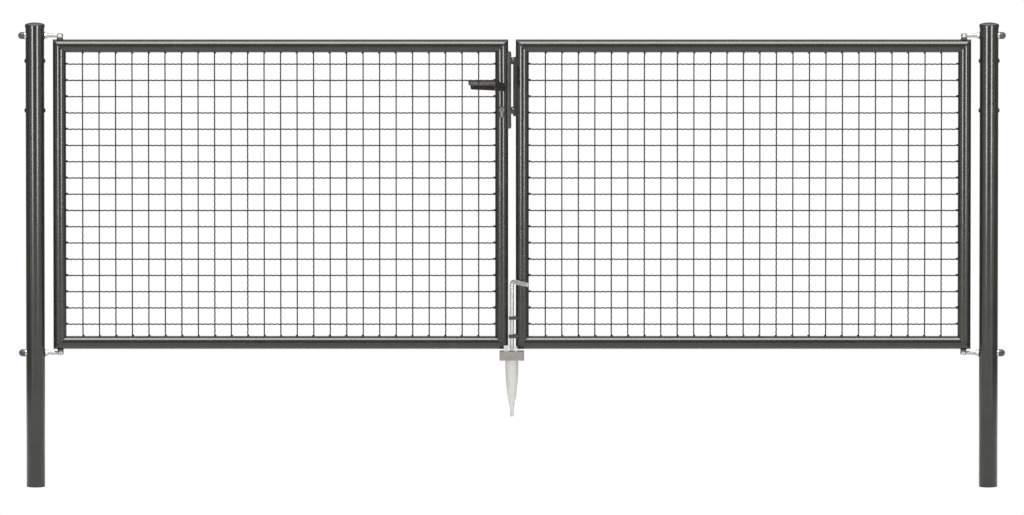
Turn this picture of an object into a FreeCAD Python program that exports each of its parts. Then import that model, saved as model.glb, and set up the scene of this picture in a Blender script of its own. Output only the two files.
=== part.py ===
import FreeCAD, Part
import math
import os

from FreeCAD import Vector

# Double gate: two round-tube leaves filled with crimped wire mesh, hung between two round posts.
# Millimetres. X runs from the left post to the right post, Y away from the viewer, Z up.
# The origin is the centre of the left post's foot. Both leaves open away from the viewer.

# Posts
clear_width = 3000.0            # between the faces of the two posts
post_diameter = 60.0
post_wall = 2.0
post_height = 1493.0            # tube alone, without its cap
foot_plate_thickness = 3.0      # disc welded into the post's foot
cap_wall = 1.5
cap_rim_height = 11.0
cap_shoulder = 2.0              # rounding where the rim turns into the crown
cap_crown_rise = 5.0
plug_diameter = 15.0            # domed plugs in the spare cross holes
plug_rise = 4.0

# Leaves
leaf_height = 1000.0
leaf_top_drop = 48.0            # from the post's rim down to the top of the leaf
hinge_gap = 27.5                # between a post and its leaf
centre_gap = 24.0               # between the leaves
frame_diameter = 42.0
frame_wall = 2.0

# Crimped wire mesh
wire_diameter = 4.0
mesh_pitch_across = 53.0
mesh_pitch_up = 52.5

# Hinges: an eye bolt through the post holds a pin that is welded to the leaf
hinge_inset = 23.0              # from the leaf's outer edge to the pin
pin_diameter = 10.0
pin_proud = 1.0                 # end of the pin beyond the eye
spacer_base_diameter = 22.0     # conical spacer, wide on the leaf
spacer_top_diameter = 18.0
spacer_height = 6.0
eye_diameter = 20.5
eye_height = 12.0
eye_corner = 2.5                # forged rounding of the eye's edges
rod_diameter = 12.0
nut_across_flats = 19.0
nut_height = 8.0
saddle_diameter = 24.0
saddle_thickness = 2.0          # on the gate side, at the post's crest
washer_thickness = 3.5          # on the outer side, at the post's crest
dome_diameter = 23.0
dome_length = 20.0
rod_depth_in_dome = 10.0

# Lock in the left leaf
lever_drop = 150.0              # from the top of the leaf down to the lever's spindle
cylinder_drop = 82.0            # from the spindle down to the key cylinder
forend_length = 248.0
forend_above = 111.0            # part of the forend that stands above the spindle
forend_width = 22.0
forend_proud = 7.5              # from the stile's crest to the forend's face
forend_bevel = 3.0
case_end_margin = 12.0          # forend beyond the case, above and below
case_thickness = 15.0
case_back_inset = 3.0           # from the tube's bore to the back of the case
bolt_width = 11.0               # latch and dead bolt
latch_height = 22.0
dead_bolt_height = 28.0
latch_rise = 28.0               # latch centre above the spindle
dead_bolt_drop = 46.0           # dead bolt centre below the spindle
spindle_side = 8.0
follower_diameter = 18.0
neck_diameter = 19.0
lever_length = 117.0
front_lever_heel = 17.0         # from the spindle to the lever's blunt end
rear_lever_heel = 10.0
lever_offset = 58.0             # from the leaf's middle plane to the lever's middle plane
lever_thickness = 12.0
lever_hub_height = 20.0
lever_tip_height = 15.0
lever_tip_bevel = 6.0
cylinder_round = 17.0           # round part of the key cylinder
cylinder_tail_width = 10.0
cylinder_height = 33.0
cylinder_proud = 8.0            # beyond the stile, front and back

# Keeper on the right leaf
keeper_length = 188.0
keeper_above = 92.0             # part of the keeper that stands above the spindle
keeper_width = 30.0
keeper_proud = 8.5              # from the stile's crest to the keeper's face
keeper_wrap = 10.0              # how far its cheeks reach back past the stile's crest
keeper_corner = 4.0
keeper_bolt_above = 81.0        # upper bolt above the spindle
keeper_bolt_spacing = 160.0
keeper_bolt_diameter = 8.0
keeper_bolt_depth = 8.0         # into the stile, past its crest
keeper_cap_diameter = 22.0
keeper_cap_thickness = 3.0
keeper_washer_thickness = 1.0

# Drop bolt on the right leaf, drawn just clear of its socket
bolt_diameter = 14.0
bolt_from_stile = 12.5          # from the stile's crest to the bolt's axis, across the gap
bolt_forward = 14.0             # in front of the leaf's middle plane
bolt_rise = 227.0               # top of the handle above the underside of the leaf
bolt_bend_radius = 11.0
bolt_handle_reach = 70.0
bolt_handle_turn = 45.0         # degrees from the gate's line towards the viewer
bolt_handle_droop = 5.0         # degrees below level
bolt_end_taper = 3.0
guide_wall = 2.5
upper_guide_rise = 97.0         # above the underside of the leaf
upper_guide_height = 10.0
lower_guide_rise = 37.0
lower_guide_height = 12.0
bolt_rest_gap = 1.0             # between bend and upper guide when the bolt is down

# Ground socket under the middle of the gate
socket_gap = 5.0                # under the leaves
collar_width = 79.0
collar_depth = 36.0
collar_height = 29.0
collar_corner = 4.0
socket_bore = 26.0
socket_bore_depth = 110.0
spike_diameter = 42.0
spike_straight = 10.0           # below the collar
spike_taper = 150.0
spike_neck_diameter = 11.5
spike_tip_length = 23.0
spike_end_crown = 2.0
stop_width = 17.0               # block in front of the left leaf's corner
stop_thickness = 8.0
stop_rise = 19.0
stop_past_edge = 2.5            # beyond the left leaf's edge
lug_width = 9.0                 # small lug in front of the right leaf's edge
lug_thickness = 6.0
lug_rise = 16.0
lug_beside_bolt = 1.5           # from the drop bolt's surface, to the right
lug_from_bolt = 2.0             # and in front

# Clearances
seat_gap = 0.2                  # curved faces that sit on each other
running_gap = 0.3               # round a pin, rod or bolt
hinge_play = 0.5                # between a spacer and its eye
stop_gap = 0.3                  # between the left leaf and its stop
cut_over = 1.0                  # how far cutters run past what they cut

# Places that follow from the sizes above
post_radius = post_diameter / 2
frame_radius = frame_diameter / 2
right_post_x = clear_width + post_diameter
leaf_top = post_height - leaf_top_drop
leaf_bottom = leaf_top - leaf_height
left_outer = post_radius + hinge_gap
left_inner = right_post_x / 2 - centre_gap / 2
right_inner = right_post_x / 2 + centre_gap / 2
right_outer = right_post_x - post_radius - hinge_gap
left_pin_x = left_outer + hinge_inset
right_pin_x = right_outer - hinge_inset
upper_rod_z = leaf_top + spacer_height + hinge_play + eye_height / 2
lower_rod_z = leaf_bottom - spacer_height - hinge_play - eye_height / 2
lock_x = left_inner - frame_radius
keeper_x = right_inner + frame_radius
forend_face = left_inner + forend_proud
case_front = lock_x + math.sqrt(frame_radius ** 2 - (case_thickness / 2) ** 2)
lever_height = leaf_top - lever_drop
cylinder_z = lever_height - cylinder_drop
forend_bottom = lever_height + forend_above - forend_length
case_bottom = forend_bottom + case_end_margin
case_length = forend_length - 2 * case_end_margin
keeper_face = right_inner - keeper_proud
keeper_bottom = lever_height + keeper_above - keeper_length
keeper_bolt_heights = (lever_height + keeper_bolt_above, lever_height + keeper_bolt_above - keeper_bolt_spacing)
plug_heights = keeper_bolt_heights
bolt_top = leaf_bottom + bolt_rise
upper_guide_bottom = leaf_bottom + upper_guide_rise
lower_guide_bottom = leaf_bottom + lower_guide_rise
bolt_x = right_inner - bolt_from_stile
bolt_y = -bolt_forward
socket_x = bolt_x
socket_top = leaf_bottom - socket_gap
bolt_tip_z = socket_top + socket_gap
bolt_bend_start = bolt_top - bolt_diameter / 2 - bolt_bend_radius
bolt_drop = bolt_bend_start - upper_guide_bottom - upper_guide_height - bolt_rest_gap

UP = Vector(0, 0, 1)
DOWN = Vector(0, 0, -1)
ALONG = Vector(1, 0, 0)
BACK = Vector(0, 1, 0)


def block(x0, x1, y0, y1, z0, z1):
    return Part.makeBox(x1 - x0, y1 - y0, z1 - z0, Vector(x0, y0, z0))


def rod(diameter, start, direction, length):
    return Part.makeCylinder(diameter / 2, length, start, direction)


def pipe(diameter, wall, start, direction, length):
    outside = rod(diameter, start, direction, length)
    bore = rod(diameter - 2 * wall, start - direction * cut_over, direction, length + 2 * cut_over)
    return outside.cut(bore)


def revolve(profile, centre, direction):
    """Turns a closed profile, given as (radius, height) points or (start, middle, end) arcs,
    about an axis through centre."""
    edges = []
    for piece in profile:
        points = [Vector(r, 0, h) for r, h in piece]
        if len(points) == 3:
            edges.append(Part.Arc(*points).toShape())
        else:
            edges.append(Part.LineSegment(*points).toShape())
    solid = Part.Face(Part.Wire(edges)).revolve(Vector(0, 0, 0), UP, 360)
    solid.Placement = FreeCAD.Placement(centre, FreeCAD.Rotation(UP, direction))
    return solid


def crown(radius, base, rise):
    """Arc of a round crown, from its rim at (radius, base) to its top on the axis."""
    sphere = (radius ** 2 + rise ** 2) / (2 * rise)
    half = math.asin(radius / sphere) / 2
    top = base + rise
    return [(radius, base), (sphere * math.sin(half), top - sphere * (1 - math.cos(half))), (0, top)]


def ogive(radius, top, neck, length):
    """Arc that leaves the radius upright at the top and narrows to the neck."""
    narrowing = radius - neck
    sweep = (narrowing ** 2 + length ** 2) / (2 * narrowing)
    half = math.asin(length / sweep) / 2
    middle = (radius - sweep * (1 - math.cos(half)), top - sweep * math.sin(half))
    return [(radius, top), middle, (neck, top - length)]


def polygon(points):
    return Part.Face(Part.makePolygon(points + points[:1]))


def export(name, *solids):
    shape = solids[0] if len(solids) == 1 else Part.makeCompound(list(solids))
    shape.exportStep(f"parts/{name}.step")


# Posts

def post(x):
    tube = pipe(post_diameter, post_wall, Vector(x, 0, 0), UP, post_height)
    foot = rod(post_diameter - 2 * post_wall, Vector(x, 0, 0), UP, foot_plate_thickness)
    solid = tube.fuse(foot).removeSplitter()
    for z in (upper_rod_z, lower_rod_z):
        start = Vector(x - post_diameter, 0, z)
        solid = solid.cut(rod(rod_diameter + 2 * running_gap, start, ALONG, 2 * post_diameter))
    return solid


def post_cap(x):
    inside = post_radius + seat_gap
    outside = inside + cap_wall
    under = post_height
    shoulder = under + cap_wall
    top = shoulder + cap_crown_rise
    flat = outside - cap_shoulder
    turn = cap_shoulder * math.sqrt(0.5)
    profile = [
        [(0, under), (inside, under)],
        [(inside, under), (inside, shoulder - cap_rim_height)],
        [(inside, shoulder - cap_rim_height), (outside, shoulder - cap_rim_height)],
        [(outside, shoulder - cap_rim_height), (outside, shoulder - cap_shoulder)],
        [(outside, shoulder - cap_shoulder), (flat + turn, shoulder - cap_shoulder + turn), (flat, shoulder)],
        crown(flat, shoulder, cap_crown_rise),
        [(0, top), (0, under)],
    ]
    return revolve(profile, Vector(x, 0, 0), UP)


def post_plugs(x):
    plugs = []
    for z in plug_heights:
        for side in (-1, 1):
            radius = plug_diameter / 2
            sink = post_radius - math.sqrt(post_radius ** 2 - radius ** 2)
            rim = plug_rise * 0.25
            profile = [
                [(0, -sink), (radius, -sink)],
                [(radius, -sink), (radius, rim)],
                crown(radius, rim, plug_rise - rim),
                [(0, plug_rise), (0, -sink)],
            ]
            dome = revolve(profile, Vector(x + side * post_radius, 0, z), ALONG * side)
            plugs.append(dome.cut(rod(post_diameter + 2 * seat_gap, Vector(x, 0, z - radius - cut_over), UP,
                                      plug_diameter + 2 * cut_over)))
    return plugs


# Hinges

def eye_bolt(post_x, pin_x, z, side):
    """side is 1 where the leaf lies to the right of its post, and -1 to the left."""
    outer_end = post_x - side * (post_radius + washer_thickness + rod_depth_in_dome)
    length = abs(pin_x - outer_end)
    shank = rod(rod_diameter, Vector(outer_end, 0, z), ALONG * side, length)
    low = Vector(pin_x, 0, z - eye_height / 2)
    eye = rod(eye_diameter, low, UP, eye_height)
    eye = eye.makeFillet(eye_corner, [e for e in eye.Edges if isinstance(e.Curve, Part.Circle)])
    bore = rod(pin_diameter + 2 * running_gap, low - UP * cut_over, UP, eye_height + 2 * cut_over)
    return eye.fuse(shank).cut(bore)


def hex_nut(start, direction):
    radius = nut_across_flats / math.sqrt(3)
    corners = [Vector(0, radius * math.cos(math.radians(60 * i)), radius * math.sin(math.radians(60 * i)))
               for i in range(6)]
    prism = polygon(corners).extrude(ALONG * nut_height)
    cone_radius = radius + nut_height * 0.3
    cone = Part.makeCone(cone_radius, nut_across_flats / 2 - 0.5, nut_height, Vector(0, 0, 0), ALONG)
    nut = prism.common(cone)
    nut = nut.cut(rod(rod_diameter + 2 * seat_gap, Vector(-cut_over, 0, 0), ALONG, nut_height + 2 * cut_over))
    nut.Placement = FreeCAD.Placement(start, FreeCAD.Rotation(ALONG, direction))
    return nut


def saddle(post_x, z, side, thickness):
    """Round washer whose inner face is hollowed to sit on the post."""
    radius = saddle_diameter / 2
    start = math.sqrt(post_radius ** 2 - radius ** 2) - cut_over
    length = post_radius + thickness - start
    washer = rod(saddle_diameter, Vector(post_x + side * start, 0, z), ALONG * side, length)
    seat = rod(post_diameter + 2 * seat_gap, Vector(post_x, 0, z - saddle_diameter), UP, 2 * saddle_diameter)
    hole = rod(rod_diameter + 2 * running_gap, Vector(post_x, 0, z), ALONG * side, post_diameter)
    return washer.cut(seat).cut(hole)


def dome_cap(post_x, z, side):
    """Capped nut that closes the rod's outer end."""
    radius = dome_diameter / 2
    straight = dome_length - radius
    bore = rod_diameter / 2 + seat_gap
    depth = rod_depth_in_dome + seat_gap
    profile = [
        [(bore, 0), (radius, 0)],
        [(radius, 0), (radius, straight)],
        crown(radius, straight, radius),
        [(0, dome_length), (0, depth)],
        [(0, depth), (bore, depth)],
        [(bore, depth), (bore, 0)],
    ]
    start = Vector(post_x + side * (post_radius + washer_thickness), 0, z)
    return revolve(profile, start, ALONG * side)


def hinge_pins(pin_x):
    length = spacer_height + hinge_play + eye_height + pin_proud
    return [rod(pin_diameter, Vector(pin_x, 0, leaf_top), UP, length),
            rod(pin_diameter, Vector(pin_x, 0, leaf_bottom), DOWN, length)]


def hinge_spacers(pin_x):
    spacers = []
    for z, direction in ((leaf_top, UP), (leaf_bottom, DOWN)):
        start = Vector(pin_x, 0, z)
        cone = Part.makeCone(spacer_base_diameter / 2, spacer_top_diameter / 2, spacer_height, start, direction)
        spacers.append(cone.cut(rod(pin_diameter + 2 * seat_gap, start - direction * cut_over, direction,
                                    spacer_height + 2 * cut_over)))
    return spacers


# Leaf frames

def mitred(tube, outer_start, outer_end, inner_end, inner_start):
    """Cuts a tube's ends on the leaf's mitre lines, each given as (x, z)."""
    corners = [Vector(x, -frame_diameter, z) for x, z in (outer_start, outer_end, inner_end, inner_start)]
    return tube.common(polygon(corners).extrude(BACK * 2 * frame_diameter))


def leaf_frame(x0, x1):
    """Returns the left stile, right stile, top rail and bottom rail of the leaf from x0 to x1."""
    z0, z1 = leaf_bottom, leaf_top
    across = x1 - x0
    d = frame_diameter
    r = frame_radius

    def upright(x):
        return pipe(d, frame_wall, Vector(x, 0, z0 - cut_over), UP, leaf_height + 2 * cut_over)

    def level(z):
        return pipe(d, frame_wall, Vector(x0 - cut_over, 0, z), ALONG, across + 2 * cut_over)

    left = mitred(upright(x0 + r), (x0, z0), (x0, z1), (x0 + d, z1 - d), (x0 + d, z0 + d))
    right = mitred(upright(x1 - r), (x1, z0), (x1, z1), (x1 - d, z1 - d), (x1 - d, z0 + d))
    top = mitred(level(z1 - r), (x0, z1), (x1, z1), (x1 - d, z1 - d), (x0 + d, z1 - d))
    bottom = mitred(level(z0 + r), (x0, z0), (x1, z0), (x1 - d, z0 + d), (x0 + d, z0 + d))
    return left, right, top, bottom


# Wire mesh: square bars of the round wire's section, the uprights in front of the level wires

def mesh_halves(x0, x1):
    """Returns the mesh between the stiles' inner edges x0 and x1 as a left and a right half."""
    side = wire_diameter * math.sqrt(math.pi) / 2
    low = leaf_bottom + frame_diameter
    high = leaf_top - frame_diameter
    columns = int(round((x1 - x0) / mesh_pitch_across))
    step = (x1 - x0) / columns
    inner = [x0 + step * i for i in range(1, columns)]
    uprights = [x0 + side / 2] + inner + [x1 - side / 2]
    rows = int((high - low) / mesh_pitch_up)
    middle = (low + high) / 2
    levels = [middle + mesh_pitch_up * (i - (rows - 1) / 2) for i in range(rows)]
    seam = x0 + step * (columns // 2 + 0.5)
    halves = []
    for start, end in ((x0, seam), (seam, x1)):
        bars = [block(x - side / 2, x + side / 2, -side, 0, low, high) for x in uprights if start < x < end]
        bars += [block(start, end, 0, side, z - side / 2, z + side / 2) for z in levels]
        halves.append(bars[0].multiFuse(bars[1:]))
    return halves


# Lock

def lock_openings():
    """What is cut out of the lock stile: the case's slot and the holes for spindle and cylinder."""
    gap = running_gap
    slot = block(lock_x, left_inner + cut_over, -case_thickness / 2 - gap, case_thickness / 2 + gap,
                 case_bottom - gap, case_bottom + case_length + gap)
    start = Vector(lock_x, -frame_diameter, lever_height)
    neck = rod(neck_diameter + 2 * gap, start, BACK, 2 * frame_diameter)
    return slot.fuse(neck).fuse(cylinder_solid(frame_diameter, gap))


def cylinder_solid(reach, grow):
    """Profile key cylinder, a round head over a narrower tail, reaching out both ways."""
    head_z = cylinder_z + cylinder_height / 2 - cylinder_round / 2
    head = rod(cylinder_round + 2 * grow, Vector(lock_x, -reach, head_z), BACK, 2 * reach)
    tail_radius = cylinder_tail_width / 2
    foot_z = cylinder_z - cylinder_height / 2 + tail_radius
    tail = block(lock_x - tail_radius - grow, lock_x + tail_radius + grow, -reach, reach, foot_z, head_z)
    foot = rod(cylinder_tail_width + 2 * grow, Vector(lock_x, -reach, foot_z), BACK, 2 * reach)
    return head.fuse(tail).fuse(foot).removeSplitter()


def lock_bolt_places(grow):
    """Boxes of the latch and the dead bolt, from the case's front to the forend's face."""
    half = bolt_width / 2 + grow
    places = []
    for z, height in ((lever_height + latch_rise, latch_height), (lever_height - dead_bolt_drop, dead_bolt_height)):
        places.append(block(case_front, forend_face, -half, half, z - height / 2 - grow, z + height / 2 + grow))
    return places


def lock_forend():
    """Strip with bevelled long edges and ends, hollowed behind to sit on the stile."""
    half = forend_width / 2
    high = forend_bottom + forend_length
    strip = block(lock_x, forend_face, -half, half, forend_bottom, high)
    front_edges = [e for e in strip.Edges
                   if all(abs(v.X - forend_face) < 1e-6 for v in e.Vertexes)]
    strip = strip.makeChamfer(forend_bevel, front_edges)
    seat = rod(frame_diameter + 2 * seat_gap, Vector(lock_x, 0, forend_bottom - cut_over), UP,
               forend_length + 2 * cut_over)
    strip = strip.cut(seat)
    for opening in lock_bolt_places(running_gap):
        strip = strip.cut(opening)
    return strip


def lock_case():
    back = lock_x - frame_radius + frame_wall + case_back_inset
    half = case_thickness / 2
    case = block(back, case_front - seat_gap, -half, half, case_bottom, case_bottom + case_length)
    follower = rod(follower_diameter + 2 * running_gap, Vector(lock_x, -frame_diameter, lever_height), BACK,
                   2 * frame_diameter)
    return case.cut(follower).cut(cylinder_solid(frame_diameter, seat_gap))


def lock_bolts():
    return [place.translated(Vector(-seat_gap, 0, 0)) for place in lock_bolt_places(0)]


def lever(side, heel):
    """Lever handle on the front (side -1) or back (side 1): a neck and a tapering bar."""
    near = lever_offset - lever_thickness / 2
    hub = lever_hub_height / 2
    drop = hub - lever_tip_height
    tip = heel - lever_length
    outline = [(heel, -hub), (heel, hub), (tip, hub), (tip, drop + lever_tip_bevel),
               (tip + lever_tip_bevel, drop)]
    y = side * near
    corners = [Vector(lock_x + x, y, lever_height + z) for x, z in outline]
    bar = polygon(corners).extrude(BACK * side * lever_thickness)
    long_edges = [e for e in bar.Edges if e.Length > lever_length / 2]
    bar = bar.makeFillet(2.0, long_edges)
    neck_start = frame_radius - frame_wall
    neck = rod(neck_diameter, Vector(lock_x, side * neck_start, lever_height), BACK * side,
               near - neck_start + lever_thickness / 2)
    return bar.fuse(neck)


def lever_spindle():
    half = spindle_side / 2
    reach = frame_radius - frame_wall
    return block(lock_x - half, lock_x + half, -reach, reach, lever_height - half, lever_height + half)


# Keeper

def keeper_body():
    """Block with rounded front corners that saddles the stile and holds the two bolts."""
    half = keeper_width / 2
    body = block(keeper_face, right_inner + keeper_wrap, -half, half, keeper_bottom,
                 keeper_bottom + keeper_length)
    corners = [e for e in body.Edges
               if e.Length > keeper_length / 2 and abs(e.Vertexes[0].X - keeper_face) < 1e-6]
    body = body.makeFillet(keeper_corner, corners)
    seat = rod(frame_diameter + 2 * seat_gap, Vector(keeper_x, 0, keeper_bottom - cut_over), UP,
               keeper_length + 2 * cut_over)
    body = body.cut(seat)
    for z in keeper_bolt_heights:
        body = body.cut(keeper_bolt_hole(z))
    mouth = bolt_width / 2 + 2 * running_gap
    for z, height in ((lever_height + latch_rise, latch_height), (lever_height - dead_bolt_drop, dead_bolt_height)):
        body = body.cut(block(keeper_face - cut_over, right_inner - 1.5, -mouth, mouth,
                              z - height / 2 - 2.0, z + height / 2 + 2.0))
    return body


def keeper_bolt_hole(z):
    start = Vector(keeper_face - cut_over, 0, z)
    return rod(keeper_bolt_diameter + 2 * running_gap, start, ALONG,
               keeper_proud + keeper_bolt_depth + 2 * cut_over)


def keeper_bolts():
    solids = []
    for z in keeper_bolt_heights:
        face = keeper_face - keeper_washer_thickness
        radius = keeper_cap_diameter / 2
        rim = keeper_cap_thickness * 0.5
        profile = [
            [(0, 0), (radius, 0)],
            [(radius, 0), (radius, rim)],
            crown(radius, rim, keeper_cap_thickness - rim),
            [(0, keeper_cap_thickness), (0, 0)],
        ]
        cap = revolve(profile, Vector(face, 0, z), ALONG * -1)
        shank = rod(keeper_bolt_diameter, Vector(face, 0, z), ALONG,
                    right_inner + keeper_bolt_depth - face)
        solids.append(cap.fuse(shank))
    return solids


def keeper_washers():
    wall = (keeper_cap_diameter - keeper_bolt_diameter) / 2 - running_gap
    return [pipe(keeper_cap_diameter, wall, Vector(keeper_face - keeper_washer_thickness, 0, z), ALONG,
                 keeper_washer_thickness) for z in keeper_bolt_heights]


# Drop bolt

def drop_bolt():
    """Round bar with a tapered foot, bent over at the top into a handle that droops a little."""
    turn = math.radians(bolt_handle_turn)
    out = Vector(math.cos(turn), -math.sin(turn), 0)
    foot = Vector(bolt_x, bolt_y, bolt_tip_z)
    bend_low = Vector(bolt_x, bolt_y, bolt_bend_start)
    bend_angle = math.radians(90 + bolt_handle_droop)

    def on_bend(angle):
        side = out * (bolt_bend_radius * (1 - math.cos(angle)))
        return bend_low + side + UP * (bolt_bend_radius * math.sin(angle))

    bend_high = on_bend(bend_angle)
    along_arm = out * math.sin(bend_angle) + UP * math.cos(bend_angle)
    arm_length = (bolt_handle_reach - bolt_bend_radius * (1 - math.cos(bend_angle))) / math.sin(bend_angle)
    path = Part.Wire([Part.LineSegment(foot, bend_low).toShape(),
                      Part.Arc(bend_low, on_bend(bend_angle / 2), bend_high).toShape(),
                      Part.LineSegment(bend_high, bend_high + along_arm * arm_length).toShape()])
    section = Part.Wire([Part.Circle(foot, UP, bolt_diameter / 2).toShape()])
    bar = path.makePipeShell([section], True, True)
    foot_edge = [e for e in bar.Edges if abs(e.BoundBox.ZMax - bolt_tip_z) < 1e-6]
    return bar.makeChamfer(bolt_end_taper, foot_edge)


def bolt_guide(z, height):
    """Ring round the drop bolt on a short web that is welded to the stile."""
    bore = bolt_diameter + 2 * running_gap
    ring = bore + 2 * guide_wall
    centre = Vector(bolt_x, bolt_y, z)
    stile = Vector(keeper_x, 0, z)
    towards = (stile - centre).normalize()
    across = Vector(-towards.y, towards.x, 0) * (ring / 2)
    web = polygon([centre + across, centre - across, stile - across, stile + across]).extrude(UP * height)
    guide = rod(ring, centre, UP, height).fuse(web)
    guide = guide.cut(rod(bore, centre - UP * cut_over, UP, height + 2 * cut_over))
    guide = guide.cut(rod(frame_diameter, stile - UP * cut_over, UP, height + 2 * cut_over))
    return max(guide.Solids, key=lambda solid: solid.Volume)


# Ground socket

def ground_socket():
    """Collar over a bored spike that tapers to a pin, for setting into the ground."""
    low = socket_top - collar_height
    half_x = collar_width / 2
    half_y = collar_depth / 2
    collar = block(socket_x - half_x, socket_x + half_x, bolt_y - half_y, bolt_y + half_y, low, socket_top)
    upright = [e for e in collar.Edges if abs(e.Length - collar_height) < 1e-6]
    collar = collar.makeChamfer(collar_corner, upright)
    radius = spike_diameter / 2
    neck = spike_neck_diameter / 2
    straight = low - spike_straight
    taper = straight - spike_taper
    tip = taper - spike_tip_length
    profile = [
        [(0, low + collar_height / 2), (radius, low + collar_height / 2)],
        [(radius, low + collar_height / 2), (radius, straight)],
        ogive(radius, straight, neck, spike_taper),
        [(neck, taper), (neck, tip + spike_end_crown)],
        crown(neck, tip + spike_end_crown, -spike_end_crown),
        [(0, tip), (0, low + collar_height / 2)],
    ]
    body = collar.fuse(revolve(profile, Vector(socket_x, bolt_y, 0), UP))
    body = body.fuse(leaf_stop()).fuse(bolt_lug())
    bore = rod(socket_bore, Vector(socket_x, bolt_y, socket_top - socket_bore_depth), UP,
               socket_bore_depth + stop_rise)
    return body.cut(bore).removeSplitter()


def leaf_stop():
    """Block that the left leaf's corner closes against."""
    top = socket_top + stop_rise
    drop = leaf_bottom + frame_radius - top
    back = -math.sqrt((frame_radius + stop_gap) ** 2 - drop ** 2)
    right = left_inner + stop_past_edge
    return block(right - stop_width, right, back - stop_thickness, back, socket_top - cut_over, top)


def bolt_lug():
    back = bolt_y - bolt_diameter / 2 - lug_from_bolt
    left = bolt_x + bolt_diameter / 2 + lug_beside_bolt
    return block(left, left + lug_width, back - lug_thickness, back, socket_top - cut_over, socket_top + lug_rise)


# Assembly

def build_post_side(name, post_x, pin_x, side):
    rods = (upper_rod_z, lower_rod_z)
    export(f"{name}_post", post(post_x))
    export(f"{name}_post_cap", post_cap(post_x))
    export(f"{name}_post_plugs", *post_plugs(post_x))
    export(f"{name}_upper_eye_bolt", eye_bolt(post_x, pin_x, upper_rod_z, side))
    export(f"{name}_lower_eye_bolt", eye_bolt(post_x, pin_x, lower_rod_z, side))
    nut_face = post_x + side * (post_radius + saddle_thickness)
    export(f"{name}_hinge_nuts", *[hex_nut(Vector(nut_face, 0, z), ALONG * side) for z in rods])
    export(f"{name}_hinge_saddles", *[saddle(post_x, z, side, saddle_thickness) for z in rods])
    export(f"{name}_hinge_washers", *[saddle(post_x, z, -side, washer_thickness) for z in rods])
    export(f"{name}_dome_nuts", *[dome_cap(post_x, z, -side) for z in rods])


def build_leaf_hinges(name, pin_x):
    export(f"{name}_hinge_pins", *hinge_pins(pin_x))
    export(f"{name}_hinge_spacers", *hinge_spacers(pin_x))


def build_left_leaf():
    hinge_stile, lock_stile, top, bottom = leaf_frame(left_outer, left_inner)
    export("left_hinge_stile", hinge_stile)
    export("left_lock_stile", lock_stile.cut(lock_openings()))
    export("left_top_rail", top)
    export("left_bottom_rail", bottom)
    outer, inner = mesh_halves(left_outer + frame_diameter, left_inner - frame_diameter)
    export("left_mesh_outer", outer)
    export("left_mesh_inner", inner)
    build_leaf_hinges("left", left_pin_x)
    export("lock_forend", lock_forend())
    export("lock_case", lock_case())
    export("lock_bolts", *lock_bolts())
    export("lock_cylinder", cylinder_solid(frame_radius + cylinder_proud, 0))
    export("front_lever", lever(-1, front_lever_heel))
    export("rear_lever", lever(1, rear_lever_heel))
    export("lever_spindle", lever_spindle())


def build_right_leaf():
    keeper_stile, hinge_stile, top, bottom = leaf_frame(right_inner, right_outer)
    for z in keeper_bolt_heights:
        keeper_stile = keeper_stile.cut(keeper_bolt_hole(z))
    export("right_hinge_stile", hinge_stile)
    export("right_keeper_stile", keeper_stile)
    export("right_top_rail", top)
    export("right_bottom_rail", bottom)
    inner, outer = mesh_halves(right_inner + frame_diameter, right_outer - frame_diameter)
    export("right_mesh_outer", outer)
    export("right_mesh_inner", inner)
    build_leaf_hinges("right", right_pin_x)
    export("keeper", keeper_body())
    export("keeper_bolts", *keeper_bolts())
    export("keeper_washers", *keeper_washers())
    export("bolt_guides", bolt_guide(upper_guide_bottom, upper_guide_height),
           bolt_guide(lower_guide_bottom, lower_guide_height))
    export("drop_bolt", drop_bolt())


os.makedirs("parts", exist_ok=True)
build_post_side("left", 0.0, left_pin_x, 1)
build_post_side("right", right_post_x, right_pin_x, -1)
build_left_leaf()
build_right_leaf()
export("ground_socket", ground_socket())
print(f"pins at x {left_pin_x} and {right_pin_x}, spindle at x {lock_x}, bolt drops {bolt_drop}")
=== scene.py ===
import math

import bmesh
import bpy
from mathutils import Matrix, Vector


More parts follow.
